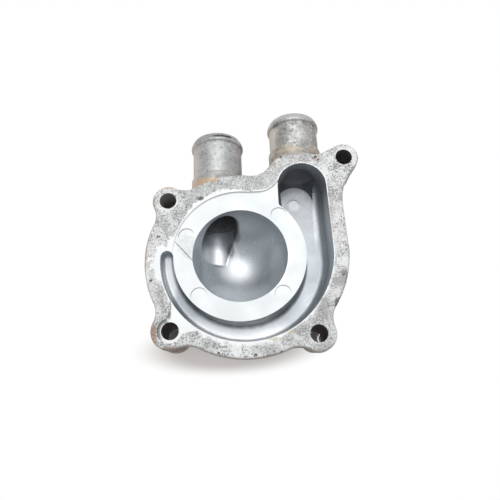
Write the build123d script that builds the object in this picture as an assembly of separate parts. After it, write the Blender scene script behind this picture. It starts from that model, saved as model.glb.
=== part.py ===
from build123d import *
from math import acos, atan2, cos, degrees, hypot, radians, sin, sqrt, tan
import os

# Water pump cover, one die casting. The origin is on the impeller axis, in the plane of the mating face.
# +Z leaves the mating face towards the pump body, and both hose spigots point along +Y.
# All lengths are millimetres and all angles are degrees, counted anticlockwise from +X.

# Mating flange
flange_thickness = 4.5
rim_width = 6.0
face_edge_radius = 0.7
rim_seam_angles = (180.0, 226.0, 312.0, 360.0)
top_rim_radius = 33.0
top_rim_middle_angle = 100.0
top_rim_end_angle = 134.0
left_rim_middle = (-34.4, 9.9)
left_rim_end = (-28.6, 20.0)
port_rim_center = (24.2, 27.1)
port_rim_radius = 15.4
rim_foot = (10.6, 31.25)
hollow_radius = 8.0

# Bolt holes and their lugs
bolt_hole_diameter = 6.6
boss_length = 20.0
boss_draft = 1.0
top_left_bolt = (-27.5, 22.9)
bottom_left_bolt = (-26.6, -27.9)
bottom_right_bolt = (27.6, -31.0)
top_right_bolt = (43.1, 39.2)
top_left_lug_radius = 6.1
bottom_left_lug_radius = 7.0
bottom_right_lug_radius = 6.6
top_right_lug_radius = 5.9
boss_inset = 0.3
boss_edge = 0.6
right_boss_radius = 5.5
web_corner = (40.7, 25.9)
web_blend_radius = 20.0
web_root = (32.0, 40.16)
web_side_angle = -36.3
web_top_angle = 116.6

# Impeller ring and inlet bowl
ring_radius = 25.4
ring_recess = 0.8
recess_margin = 0.4
bowl_radius = 18.2
bowl_wall = 3.1
bowl_edge_radius = 1.3

# Volute channel
volute_start_angle = 180.0
volute_full_depth_angle = 345.0
volute_end_angle = 360.0
volute_start_width = 4.8
volute_end_width = 10.3
volute_start_depth = 5.0
volute_end_depth = 15.0
channel_draft = 2.0
inner_floor_radius = 1.5
outer_floor_radius = 3.2
channel_wall = 3.0
run_lead_angle = 10.0
run_step = 0.03
shell_overlap = 0.5
spiral_sections = 8

# Outlet port, the round end of the channel
port_center = (25.4, 27.5)
port_radius = 9.6
wall_bend_radius = 30.0
tongue_center = (23.4, 25.0)
tongue_radius = 8.0

# Hose spigots
spigot_dip = 3.0
tube_radius = 10.3
bore_radius = 7.5
bead_radius = 11.1
bead_width = 4.2
bead_rise = 1.1
tip_radius = 10.2
tip_round = 0.9
collar_height = 0.7
collar_run = 0.9
mouth_chamfer = 0.5
bore_draft = 1.0
inlet_point = (-8.4, 20.0, -12.2)
inlet_length = 34.3
inlet_root = -20.0
inlet_collar_end = 15.5
inlet_bore_root = -19.2
inlet_bore_start = -4.2
outlet_point = (24.7, 36.8, -12.3)
outlet_length = 25.3
outlet_root = -13.0
outlet_collar_end = 10.0
outlet_bore_root = -13.5
outlet_bore_start = port_center[1] + port_radius - outlet_point[1]

# Shallow features of the faces
recess_tongue = (8.0, 34.6)
recess_tongue_radius = 9.0
lug_recess_depth = 1.2
lug_recess_hole_margin = 1.3
lug_recess_corners = ((-30.6, -25.5), (-26.0, -14.0), (-14.0, -27.0), (-24.0, -31.5))
lug_recess_sides = ((-34.0, -18.5), (-18.3, -36.2))
lug_recess_side_radius = 7.7
ejector_diameter = 6.2
ejector_depth = 0.3
ejector_ring_radius = 22.0
ejector_angles = (45.0, 158.0, 224.0, 315.0)
floor_ejector = (23.2, 25.2)
floor_ejector_diameter = 4.8
floor_ejector_depth = 0.4
rib_thickness = 4.5
rib_depth = 12.0

clear = 1.0
beyond = 200.0
lean = tan(radians(channel_draft))

bolt_lugs = (
    (top_left_bolt, top_left_lug_radius),
    (bottom_left_bolt, bottom_left_lug_radius),
    (bottom_right_bolt, bottom_right_lug_radius),
    (top_right_bolt, top_right_lug_radius),
)
bosses = (
    (top_left_bolt, top_left_lug_radius - boss_inset),
    (bottom_left_bolt, bottom_left_lug_radius - boss_inset),
    (bottom_right_bolt, right_boss_radius),
    (top_right_bolt, right_boss_radius),
)


def polar(radius, angle):
    return (radius * cos(radians(angle)), radius * sin(radians(angle)))


def volute_radius(angle):
    share = (angle - volute_start_angle) / (volute_end_angle - volute_start_angle)
    return ring_radius + volute_start_width + (volute_end_width - volute_start_width) * share


def volute_share(angle):
    return (angle - volute_start_angle) / (volute_full_depth_angle - volute_start_angle)


def volute_depth(angle):
    """Depth of the channel, which falls from its round start and levels out at its full depth."""
    fall = sin(radians(90.0 * volute_share(angle)))
    return volute_start_depth + (volute_end_depth - volute_start_depth) * fall


def disc(center, radius):
    return Pos(center[0], center[1]) * Circle(radius)


def blend(outline, corner, radius):
    """Rounds the corner of a flat outline that lies nearest to a given point."""
    nearest = min(outline.vertices(), key=lambda v: hypot(v.X - corner[0], v.Y - corner[1]))
    return fillet(nearest, radius)


def tangent_point(point, center, radius):
    """Where the line that passes to the right of a circle, from a point below it, touches it."""
    dx, dy = point[0] - center[0], point[1] - center[1]
    angle = degrees(atan2(dy, dx)) + degrees(acos(radius / hypot(dx, dy)))
    x, y = polar(radius, angle)
    return (center[0] + x, center[1] + y)


def spiral_arc(offset, start, end):
    """An arc through three points of the spiral of the channel's outer wall, moved out by an offset."""
    return ThreePointArc(*[polar(volute_radius(a) + offset, a) for a in (start, (start + end) / 2, end)])


def run_plan(offset, start):
    """Plan of the straight part of the channel and its round port, moved out by an offset."""
    outer_start = polar(volute_radius(start) + offset, start)
    outer_joint = polar(volute_radius(volute_full_depth_angle) + offset, volute_full_depth_angle)
    outer_end = polar(volute_radius(volute_end_angle) + offset, volute_end_angle)
    touch = tangent_point(outer_end, port_center, port_radius + offset)
    left = port_center[0] - port_radius - offset
    inner = ring_radius - offset
    meet = (left, sqrt(inner ** 2 - left ** 2))
    inner_middle = (degrees(atan2(meet[1], left)) + start - 360.0) / 2
    edges = [
        ThreePointArc(outer_start, outer_joint, outer_end),
        Line(outer_end, touch),
        ThreePointArc(touch, (port_center[0], port_center[1] + port_radius + offset), (left, port_center[1])),
        Line((left, port_center[1]), meet),
        ThreePointArc(meet, polar(inner, inner_middle), polar(inner, start)),
        Line(polar(inner, start), outer_start),
    ]
    return blend(make_face(edges), outer_end, wall_bend_radius)


def curve_section(angle, wall, top):
    """Section of the channel on a radial plane, grown by a wall for the outside of the casting."""
    depth = volute_depth(angle) + wall
    inner = ring_radius - wall
    outer = volute_radius(angle) + wall
    corners = [
        (inner - lean * top, top),
        (inner + lean * depth, -depth),
        (outer - lean * depth, -depth),
        (outer + lean * top, top),
    ]
    outer_corner = inner_floor_radius + (outer_floor_radius - inner_floor_radius) * volute_share(angle)
    section = make_face(Polyline(*corners, close=True))
    section = blend(section, corners[1], inner_floor_radius + wall)
    section = blend(section, corners[2], outer_corner + wall)
    direction = polar(1.0, angle)
    plane = Plane(origin=(0, 0, 0), x_dir=(*direction, 0), z_dir=(direction[1], -direction[0], 0))
    return plane * section


def channel_curve(wall, top):
    """The spiral part of the channel with its round start, or the outside of the casting around it."""
    step = (volute_full_depth_angle - volute_start_angle) / (spiral_sections - 1)
    sections = [curve_section(volute_start_angle + i * step, wall, top) for i in range(spiral_sections)]
    middle = ring_radius + volute_start_width / 2
    half = sections[0] & Pos(-middle - beyond / 2, 0, 0) * Box(beyond, beyond, beyond)
    start = revolve(half, Axis((-middle, 0, 0), (0, 0, 1)), -180)
    return [loft(sections), start]


def channel_run(wall, top):
    """The straight part of the channel up to the round outlet port, or the casting around it."""
    grow = wall + run_step
    plan = run_plan(grow, volute_full_depth_angle - run_lead_angle)
    run = extrude(plan, -volute_end_depth - grow, taper=channel_draft)
    floor = run.faces().sort_by(Axis.Z)[0]
    start = floor.edges().sort_by(Axis.Y)[0]
    inner = ring_side(floor)
    outer = [e for e in floor.edges() if not e.is_same(start) and not e.is_same(inner)]
    run = fillet(outer, outer_floor_radius + wall)
    run = fillet(ring_side(run.faces().sort_by(Axis.Z)[0]), inner_floor_radius + wall)
    if top > 0:
        run += extrude(plan, top)
    ahead = Rot(0, 0, volute_full_depth_angle) * Pos(0, beyond / 2, 0) * Box(beyond, beyond, beyond)
    return run & ahead


def ring_side(floor):
    """The edge of the channel's floor that runs along the impeller ring."""
    return min(floor.edges(), key=lambda e: hypot((e @ 0.5).X, (e @ 0.5).Y))


def flange():
    """The mating flange: a rim around the channel and the ring, with four bolt lugs."""
    rim = [spiral_arc(rim_width, a, b) for a, b in zip(rim_seam_angles, rim_seam_angles[1:])]
    x, y = top_right_bolt
    side = polar(top_right_lug_radius, web_side_angle)
    top = polar(top_right_lug_radius, web_top_angle)
    lug_side = (x + side[0], y + side[1])
    lug_top = (x + top[0], y + top[1])
    port_top = (port_rim_center[0], port_rim_center[1] + port_rim_radius)
    top_rim_middle = polar(top_rim_radius, top_rim_middle_angle)
    top_rim_end = polar(top_rim_radius, top_rim_end_angle)
    rest = [
        Line(rim[-1] @ 1, web_corner),
        Line(web_corner, lug_side),
        Line(lug_side, lug_top),
        Line(lug_top, web_root),
        ThreePointArc(web_root, port_top, rim_foot),
        ThreePointArc(rim_foot, top_rim_middle, top_rim_end),
        Line(top_rim_end, left_rim_end),
        ThreePointArc(left_rim_end, left_rim_middle, rim[0] @ 0),
    ]
    outline = make_face(rim + rest)
    for bolt, radius in bolt_lugs:
        outline += disc(bolt, radius)
    plate = extrude(outline, -flange_thickness)
    plate = fillet(plate.edges().filter_by(is_web_corner), web_blend_radius)
    plate = fillet([e for e in plate.edges().filter_by(Axis.Z) if is_hollow(e, plate)], hollow_radius)
    mating_face = plate.faces().sort_by(Axis.Z)[-1]
    return fillet(mating_face.outer_wire().edges(), face_edge_radius)


def is_web_corner(edge):
    """Whether an edge is the upright one where the top right web leaves the rim."""
    return max(hypot((edge @ t).X - web_corner[0], (edge @ t).Y - web_corner[1]) for t in (0, 1)) < clear / 10


def is_hollow(edge, solid):
    """Whether an upright edge lies in a hollow corner, where most of a small ring about it is inside."""
    x, y, z = edge @ 0.5
    ring = [polar(clear / 2, angle) for angle in range(0, 360, 30)]
    inside = sum(solid.is_inside((x + dx, y + dy, z)) for dx, dy in ring)
    return inside > 0.6 * len(ring)


def casting_outside():
    """The outside of the casting: flange, channel shell, dome, hose spigots, bolt bosses and ribs."""
    body = flange()
    for piece in channel_curve(channel_wall, -shell_overlap):
        body += piece
    body += channel_run(channel_wall, 0)
    body += Pos(0, 0, -ring_recess) * Sphere(bowl_radius + bowl_wall)
    body += spigot(inlet_point, inlet_length, inlet_root, inlet_collar_end)
    body += spigot(outlet_point, outlet_length, outlet_root, outlet_collar_end)
    for bolt, radius in bosses:
        boss = extrude(disc(bolt, radius), -boss_length, taper=boss_draft)
        body += fillet(boss.faces().sort_by(Axis.Z)[0].edges(), boss_edge)
    body += rib(top_left_bolt, (0, 0))
    body += rib(top_right_bolt, port_center)
    return body - Pos(0, 0, beyond / 2) * Box(beyond, beyond, beyond)


def spigot(point, length, root, collar_end):
    """A hose spigot about its own axis: a round end inside the casting, a collar, the tube and its bead."""
    crease = (tube_radius, length - bead_width)
    crest = (bead_radius, length - bead_width + bead_rise)
    shoulder = (tip_radius, length - tip_round)
    end = (tip_radius - tip_round, length)
    collar = tube_radius + collar_height
    profile = [
        JernArc((0, root - tube_radius), (1, 0), tube_radius, 90),
        Polyline((tube_radius, root), (collar, 0), (collar, collar_end)),
        Polyline((collar, collar_end), (tube_radius, collar_end + collar_run), crease),
        TangentArc(crest, crease, tangent=(0, -1)),
        TangentArc(crest, shoulder, tangent=(0, 1)),
        JernArc(shoulder, (0, 1), tip_round, 90),
        Polyline(end, (0, length), (0, root - tube_radius)),
    ]
    return along_spigot(point) * revolve(Plane.XZ * make_face(profile), Axis.Z)


def along_spigot(point):
    """A plane across a spigot at a point of its axis, facing the way the hose leaves."""
    dip = radians(spigot_dip)
    return Plane(origin=point, x_dir=(1, 0, 0), z_dir=(0, cos(dip), -sin(dip)))


def rib(bolt, target):
    """An upright rib under the flange from a bolt boss to the casting beside it."""
    dx, dy = target[0] - bolt[0], target[1] - bolt[1]
    length = hypot(dx, dy)
    web = extrude(Pos(length / 2, 0, 0) * Rectangle(length, rib_thickness), -rib_depth, taper=boss_draft)
    return Pos(bolt[0], bolt[1]) * Rot(0, 0, degrees(atan2(dy, dx))) * web


def casting_hollows():
    """Everything cut out of the casting, from the impeller ring down to the spigot bores."""
    x, y = recess_tongue
    foot = y - recess_tongue_radius
    beside = make_face(Polyline((0, 0), (2 * x, 0), (2 * x, y), (x, y), (x, foot), (0, foot), close=True))
    ring = disc((0, 0), ring_radius + recess_margin) + beside - disc(recess_tongue, recess_tongue_radius)
    hollows = [extrude(ring, clear) + extrude(ring, -ring_recess)]
    hollows += channel_curve(0, clear)
    hollows.append(channel_run(0, clear))
    hollows.append(inlet_bowl())
    below_floor = Pos(0, 0, -volute_end_depth) * extrude(disc(tongue_center, tongue_radius), -bore_radius)
    hollows.append(bore(outlet_point, outlet_bore_root, outlet_bore_start, outlet_length) - below_floor)
    hollows.append(lug_recess())
    for bolt, _ in bolt_lugs:
        hollows.append(extrude(disc(bolt, bolt_hole_diameter / 2), -boss_length, both=True))
    for angle in ejector_angles:
        mark = disc(polar(ejector_ring_radius, angle), ejector_diameter / 2)
        hollows.append(Pos(0, 0, -ring_recess) * extrude(mark, -ejector_depth))
    mark = disc(floor_ejector, floor_ejector_diameter / 2)
    hollows.append(Pos(0, 0, -volute_end_depth) * extrude(mark, -floor_ejector_depth))
    return hollows


def inlet_bowl():
    """The bowl and the inlet bore that opens into it, with a rounded edge where they meet."""
    hollow = Pos(0, 0, -ring_recess) * Sphere(bowl_radius)
    hollow += bore(inlet_point, inlet_bore_root, inlet_bore_start, inlet_length)
    return fillet(hollow.edges().filter_by(GeomType.BSPLINE), bowl_edge_radius)


def bore(point, root, start, length):
    """A spigot bore from its flat inner end, tapered up to its start, out to the chamfered mouth."""
    root_radius = bore_radius - tan(radians(bore_draft)) * (start - root)
    mouth = (bore_radius, length - mouth_chamfer)
    outside = (bore_radius + mouth_chamfer + clear, length + clear)
    inner = Polyline((0, root), (root_radius, root), (bore_radius, start), mouth, outside, (0, length + clear))
    profile = [inner, Line((0, length + clear), (0, root))]
    return along_spigot(point) * revolve(Plane.XZ * make_face(profile), Axis.Z)


def lug_recess():
    """The shallow smooth step between the lower left lug and the channel."""
    plan = make_face(Polyline(*lug_recess_corners, close=True))
    for side in lug_recess_sides:
        plan -= disc(side, lug_recess_side_radius)
    plan += disc(bottom_left_bolt, bolt_hole_diameter / 2 + lug_recess_hole_margin)
    return extrude(plan, -lug_recess_depth) + extrude(plan, clear)


cover = casting_outside()
for hollow in casting_hollows():
    cover -= hollow

os.makedirs("parts", exist_ok=True)
export_step(cover, "parts/pump_cover.step")
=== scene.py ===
# %% [markdown]
# # A weathered water pump cover
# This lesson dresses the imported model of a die-cast cover that lies face up on a white table. The frame is
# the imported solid, in metres, with the origin on the impeller axis in the plane of the mating face.
# Everything below is placed in that frame. Most sizes are written in millimetres, because a maker thinks in
# them, and turned to metres once.

# %% Load the frame
import bpy
from collections import namedtuple
from math import atan2, cos, degrees, hypot, pi, radians, sin, tan
from mathutils import Matrix, Vector


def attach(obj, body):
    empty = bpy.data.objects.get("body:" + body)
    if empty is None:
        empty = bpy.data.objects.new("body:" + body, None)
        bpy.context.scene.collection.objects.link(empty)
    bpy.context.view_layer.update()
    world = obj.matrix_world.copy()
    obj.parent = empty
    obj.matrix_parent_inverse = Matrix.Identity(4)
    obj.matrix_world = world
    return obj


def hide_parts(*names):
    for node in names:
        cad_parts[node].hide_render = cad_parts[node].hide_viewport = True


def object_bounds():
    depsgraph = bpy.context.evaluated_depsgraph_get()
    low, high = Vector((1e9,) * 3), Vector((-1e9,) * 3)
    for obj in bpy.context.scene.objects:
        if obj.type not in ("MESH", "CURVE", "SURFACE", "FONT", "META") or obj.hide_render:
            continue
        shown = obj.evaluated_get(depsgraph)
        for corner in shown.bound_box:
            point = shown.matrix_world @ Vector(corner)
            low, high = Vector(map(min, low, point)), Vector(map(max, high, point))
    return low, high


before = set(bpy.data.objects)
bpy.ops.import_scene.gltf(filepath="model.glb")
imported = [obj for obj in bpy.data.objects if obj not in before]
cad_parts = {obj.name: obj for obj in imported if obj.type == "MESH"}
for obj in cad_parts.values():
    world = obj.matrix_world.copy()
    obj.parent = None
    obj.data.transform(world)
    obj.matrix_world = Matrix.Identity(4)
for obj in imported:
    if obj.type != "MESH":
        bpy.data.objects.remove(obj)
frame_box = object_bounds()
MM = 0.001
print("frame box in mm", [[round(v / MM, 2) for v in corner] for corner in frame_box])

# %% [markdown]
# ## Camera
# The photograph looks down on the cover from in front of it, leaning about 17 degrees off the upright.
# A camera could be aimed with a Track To constraint, but the picture is also rolled a little, so the three
# axes of the camera are worked out and written into its matrix. A lens as long as the sensor is wide gives
# the photograph's perspective.

# %% Camera at the photograph's viewing angle
camera_place = Vector((1.57, -54.04, 181.7)) * MM
looked_at = Vector((3.80, 1.48, 0.0)) * MM
roll = radians(2.3)
sensor_width = 36.0
nearest_seen = 10.0 * MM
forward = (looked_at - camera_place).normalized()
right = Vector((cos(roll), -sin(roll), 0.0))
right = (right - forward * right.dot(forward)).normalized()
up = right.cross(forward)
axes = Matrix((right, up, -forward)).transposed()
camera_data = bpy.data.cameras.new("camera")
camera_data.sensor_width = sensor_width
camera_data.lens = sensor_width
camera_data.clip_start = nearest_seen
camera = bpy.data.objects.new("camera", camera_data)
bpy.context.scene.collection.objects.link(camera)
camera.matrix_world = Matrix.Translation(camera_place) @ axes.to_4x4()
bpy.context.scene.camera = camera
bpy.context.scene.view_settings.view_transform = "Standard"
print("camera", round((looked_at - camera_place).length / MM, 1), "mm from the cover")

# %% [markdown]
# ## Helpers for modelling
# An operator acts on whatever is selected, and the frame arrives selected, so each step first clears the
# selection. These small helpers keep that habit in one place.

# %% Selection helpers
def only(piece):
    """Selects one object and makes it the active one."""
    if bpy.context.mode != "OBJECT":
        bpy.ops.object.mode_set(mode="OBJECT")
    bpy.ops.object.select_all(action="DESELECT")
    piece.select_set(True)
    bpy.context.view_layer.objects.active = piece


def settle(piece):
    """Writes an object's place, turn and scale into its mesh, so that the object sits at the origin."""
    only(piece)
    bpy.ops.object.transform_apply(location=True, rotation=True, scale=True)


def edit_all(piece):
    """Opens one object in edit mode, with its whole mesh selected."""
    only(piece)
    bpy.ops.object.mode_set(mode="EDIT")
    bpy.ops.mesh.select_all(action="SELECT")


print("helpers ready")

# %% [markdown]
# ## Helpers for shader trees
# A shader tree can be wired by hand in the editor. In a script each node is one call, and a helper that takes
# either a number or another node's output for every input keeps the formulas readable. All patterns
# are worked out in millimetres from Object coordinates, so they stay on the metal from any side.

# %% Numbers and places in a shader tree
def empty_tree(owner):
    """Turns on the nodes of a material or a world, and returns its tree with nothing in it."""
    owner.use_nodes = True
    owner.node_tree.nodes.clear()
    return owner.node_tree


def plug(tree, socket, value):
    """Sets an input to a number or colour, or links it to another node's output."""
    if isinstance(value, bpy.types.NodeSocket):
        tree.links.new(value, socket)
    else:
        socket.default_value = value


def calc(tree, operation, a, b=0.0, c=0.0):
    """A Math node, as one call."""
    node = tree.nodes.new("ShaderNodeMath")
    node.operation = operation
    for socket, value in zip(node.inputs, (a, b, c)):
        plug(tree, socket, value)
    return node.outputs[0]


def times(tree, a, b):
    """One value times another."""
    return calc(tree, "MULTIPLY", a, b)


def minus(tree, a, b):
    """One value less another."""
    return calc(tree, "SUBTRACT", a, b)


def calc3(tree, operation, a, b=(0.0, 0.0, 0.0), scale=1.0):
    """A Vector Math node, which has its scale at input 3. Lengths and distances come out as a number."""
    node = tree.nodes.new("ShaderNodeVectorMath")
    node.operation = operation
    plug(tree, node.inputs[0], a)
    plug(tree, node.inputs[1], b)
    plug(tree, node.inputs[3], scale)
    return node.outputs["Value" if operation in ("LENGTH", "DISTANCE", "DOT_PRODUCT") else "Vector"]


def in_millimetres(tree):
    """The place of each point in millimetres, from Object coordinates."""
    coordinates = tree.nodes.new("ShaderNodeTexCoord").outputs["Object"]
    return calc3(tree, "SCALE", coordinates, scale=1.0 / MM)


def axes_of(tree, place):
    """The X, Y and Z of a place, as three numbers."""
    node = tree.nodes.new("ShaderNodeSeparateXYZ")
    plug(tree, node.inputs[0], place)
    return node.outputs["X"], node.outputs["Y"], node.outputs["Z"]


print("helpers for numbers and places ready")

# %% Steps, noise and mixes in a shader tree
def smooth(tree, value, start, end):
    """0 before start and 1 after end, with a soft step between. A start above the end turns it round."""
    node = tree.nodes.new("ShaderNodeMapRange")
    node.interpolation_type = "SMOOTHSTEP"
    node.inputs["From Min"].default_value = start
    node.inputs["From Max"].default_value = end
    plug(tree, node.inputs["Value"], value)
    return node.outputs["Result"]


def noise(tree, place, scale, detail=3.0, roughness=0.55, distortion=0.0):
    """Noise between 0 and 1, with its scale in waves per millimetre."""
    node = tree.nodes.new("ShaderNodeTexNoise")
    plug(tree, node.inputs["Vector"], place)
    plug(tree, node.inputs["Scale"], scale)
    node.inputs["Detail"].default_value = detail
    node.inputs["Roughness"].default_value = roughness
    node.inputs["Distortion"].default_value = distortion
    return node.outputs[0]


def number(tree, share, first, second):
    """Mixes two numbers, which a Mix node has at its inputs 2 and 3."""
    node = tree.nodes.new("ShaderNodeMix")
    for socket, value in zip((node.inputs[0], *node.inputs[2:4]), (share, first, second)):
        plug(tree, socket, value)
    return node.outputs[0]


def blend(tree, share, first, second):
    """Mixes two colours, which a Mix node has at its inputs 6 and 7. The result is its output 2."""
    node = tree.nodes.new("ShaderNodeMix")
    node.data_type = "RGBA"
    plug(tree, node.inputs[0], share)
    for socket, value in zip(node.inputs[6:8], (first, second)):
        plug(tree, socket, (*value, 1.0) if isinstance(value, tuple) else value)
    return node.outputs[2]


def wash(tree, color, mask, strength, tint):
    """A colour with a tint laid over it where the mask is above 0."""
    return blend(tree, times(tree, mask, strength), color, tint)


print("helpers for steps, noise and mixes ready")

# %% [markdown]
# ## Table and light
# The cover lies on a plain white table under one large soft lamp, which stands a little behind it. Flat faces
# mirror that lamp towards the camera and look nearly white. A smaller and stronger lamp, nearer to the cover,
# gives the bowl its soft round highlight. The room is dimmer, which leaves the steep walls dark. The table's
# white comes from its colour and from a share of even white towards the camera. The share grows away from the
# cover's front edge, so that the table keeps the shadow there. Under the two front bolt holes, through which
# the camera sees the table, a painted shadow makes it dark.

# %% Table
table_gap = 0.02 * MM
table_width = 3.0
table_top = frame_box[0].z - table_gap
bpy.ops.object.select_all(action="DESELECT")
bpy.ops.mesh.primitive_plane_add(size=table_width, location=(0.0, 0.0, table_top))
table = bpy.context.object
table.name = "table"
settle(table)
print("table top at", round(table_top / MM, 2), "mm")

# %% Light that only the camera sees
def seen_directly(tree):
    """1 for what the camera sees, straight or through glass, and 0 for the light on other things."""
    path = tree.nodes.new("ShaderNodeLightPath")
    return calc(tree, "MAXIMUM", path.outputs["Is Camera Ray"], path.outputs["Is Transmission Ray"])


def mix_shaders(tree, share, first, second, output_kind):
    """Mixes two shaders and leads the result to a new output node."""
    mixer = tree.nodes.new("ShaderNodeMixShader")
    for socket, value in zip(mixer.inputs, (share, first.outputs[0], second.outputs[0])):
        plug(tree, socket, value)
    plug(tree, tree.nodes.new(output_kind).inputs["Surface"], mixer.outputs[0])


print("helpers for the camera's own light ready")

# %% White of the table
shade_center = (-6.0, -32.5, table_top / MM)
shade_reach = (39.0, 11.0, 1000.0)
least_even_white = 0.34
painted_shadow_spots = ((-28.8, -25.9), (29.6, -29.3))
table_white = bpy.data.materials.new("table_white")
tree = empty_tree(table_white)
place = in_millimetres(tree)
from_shade = calc3(tree, "DIVIDE", calc3(tree, "SUBTRACT", place, shade_center), shade_reach)
away = smooth(tree, calc3(tree, "LENGTH", from_shade), 0.55, 1.08)
# Painted shadow: under the two front bolt holes the glow is taken away and the table's colour turns dark.
clear = 1.0
for spot in painted_shadow_spots:
    gap = calc3(tree, "DISTANCE", place, (*spot, table_top / MM))
    clear = times(tree, clear, smooth(tree, gap, 2.2, 4.0))
even_white = times(tree, number(tree, away, least_even_white, 1.0), clear)
paint = tree.nodes.new("ShaderNodeBsdfDiffuse")
# The dark colour here is the painted shadow under the bolt holes.
plug(tree, paint.inputs["Color"], blend(tree, clear, (0.27, 0.26, 0.25), (0.82, 0.71, 0.65)))
glow = tree.nodes.new("ShaderNodeEmission")
glow.inputs["Color"].default_value = (1.0, 1.0, 1.0, 1.0)
share = times(tree, seen_directly(tree), even_white)
mix_shaders(tree, share, paint, glow, "ShaderNodeOutputMaterial")
table.data.materials.append(table_white)
print("table white uses", len(tree.nodes), "nodes")

# %% Room
room = bpy.data.worlds.new("room")
bpy.context.scene.world = room
tree = empty_tree(room)
sky = tree.nodes.new("ShaderNodeBackground")
sky.inputs["Color"].default_value = (0.93, 0.97, 1.0, 1.0)
sky.inputs["Strength"].default_value = 0.42
white = tree.nodes.new("ShaderNodeBackground")
white.inputs["Color"].default_value = (1.0, 1.0, 1.0, 1.0)
white.inputs["Strength"].default_value = 1.0
mix_shaders(tree, seen_directly(tree), sky, white, "ShaderNodeOutputWorld")
print("room", room.name)

# %% Soft lamps
def soft_lamp(name, direction, distance, size, radiance):
    """A square area lamp that faces the cover. Its radiance of 1 is the white of a lit card."""
    data = bpy.data.lights.new(name, "AREA")
    data.shape = "SQUARE"
    data.size = size
    data.energy = radiance * pi * size * size
    lamp = bpy.data.objects.new(name, data)
    bpy.context.scene.collection.objects.link(lamp)
    ray = Vector(direction).normalized()
    lamp.location = ray * distance
    lamp.rotation_euler = ray.to_track_quat("Z", "Y").to_euler()


soft_lamp("overhead_softbox", (0.04, 0.32, 0.94), distance=0.70, size=0.78, radiance=1.09)
soft_lamp("small_softbox", (0.12, 0.33, 0.94), distance=0.60, size=0.26, radiance=1.9)

# %% [markdown]
# ## The casting
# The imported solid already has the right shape, but its mesh is loose triangles, and light would break at
# each of them. So a copy is merged into one skin.

# %% One skin from the frame's mesh
weld_gap = 0.0015 * MM
casting = bpy.data.objects.new("casting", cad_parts["pump_cover"].data.copy())
bpy.context.scene.collection.objects.link(casting)
edit_all(casting)
bpy.ops.mesh.remove_doubles(threshold=weld_gap)
bpy.ops.object.mode_set(mode="OBJECT")
casting.data.materials.clear()
print("casting", len(casting.data.vertices), "vertices,", len(casting.data.polygons), "faces")

# %% [markdown]
# ## Wear cut into the metal
# The rim has corroded pits, small bites at its edge and a deep nick beside the recess. A long score crosses
# the ring, and the inlet's bead has two short slots. Bump would only tint them, so small stretched balls
# are cut out of the skin with one Boolean. Each row gives a ball's middle, its half sizes and its turn in
# degrees, and a slot's row its tilt as well. The pits on the flat of the rim come back later as dark spots.

# %% Pits, bites, score and slots
ring_height = -0.8
bites = [
    ((-14.7, 23.3, 0.0), (1.2, 0.65, 0.45), 25.0),
    ((-33.7, -9.0, 0.0), (0.6, 0.4, 0.3), 60.0),
    ((-31.0, 8.3, 0.0), (0.9, 0.2, 0.2), 130.0),
    ((31.7, 39.6, 0.0), (0.7, 0.5, 0.35), 40.0),
    ((32.6, 38.5, 0.0), (0.5, 0.4, 0.3), 0.0),
    ((17.7, 40.1, 0.0), (0.5, 0.4, 0.3), 20.0),
    ((38.5, -9.5, 0.0), (0.5, 0.4, 0.3), 70.0),
    ((39.0, -12.5, 0.0), (0.4, 0.5, 0.3), 0.0),
    ((4.3, -37.8, 0.0), (0.7, 0.5, 0.35), 10.0),
    ((-9.0, -36.6, 0.0), (0.5, 0.35, 0.25), 50.0),
    ((13.6, -37.0, 0.0), (0.45, 0.4, 0.25), 0.0),
    ((36.2, -18.6, -0.4), (0.5, 0.8, 0.9), 25.0),
    ((34.9, -21.4, -0.4), (0.6, 0.9, 0.9), 30.0),
    ((40.3, -9.6, -0.4), (0.4, 0.7, 0.8), 10.0),
    ((41.3, -3.0, -0.4), (0.35, 0.6, 0.8), 0.0),
]
score = ((-21.3, 2.1, ring_height), (5.4, 0.17, 0.16), -49.1)
slots = [
    ((-7.3, 52.7, -2.85), (2.3, 0.30, 0.45), 0.0, 3.0),
    ((-3.1, 52.7, -4.15), (1.6, 0.30, 0.45), 0.0, 28.5),
]
print("pits and bites", len(bites), "slots", len(slots))

# %% Cut the wear out of the skin
def ball_cutter(center, reach, turn, tilt=0.0):
    """A stretched ball with its half sizes along X, Y and Z, tilted about Y and turned about Z."""
    bpy.ops.mesh.primitive_ico_sphere_add(subdivisions=3, radius=MM, location=(0.0, 0.0, 0.0))
    cutter = bpy.context.object
    cutter.scale = reach
    cutter.rotation_euler = (0.0, radians(tilt), radians(turn))
    cutter.location = Vector(center) * MM
    settle(cutter)
    return cutter


cutters = [ball_cutter(*values) for values in [*bites, score, *slots]]
only(cutters[0])
for cutter in cutters[1:]:
    cutter.select_set(True)
bpy.ops.object.join()
wear = bpy.context.object
cut = casting.modifiers.new("wear", "BOOLEAN")
cut.operation = "DIFFERENCE"
cut.solver = "EXACT"
cut.object = wear
only(casting)
bpy.ops.object.modifier_apply(modifier=cut.name)
bpy.data.objects.remove(wear)
print("casting with wear", len(casting.data.vertices), "vertices,", len(casting.data.polygons), "faces")

# %% [markdown]
# ## A tidy skin
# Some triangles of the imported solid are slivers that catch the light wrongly. Where triangles lie in one
# plane they become one face. Beside the turn at which the channel reaches its full depth, many points crowd
# together, and those are merged.

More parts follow.
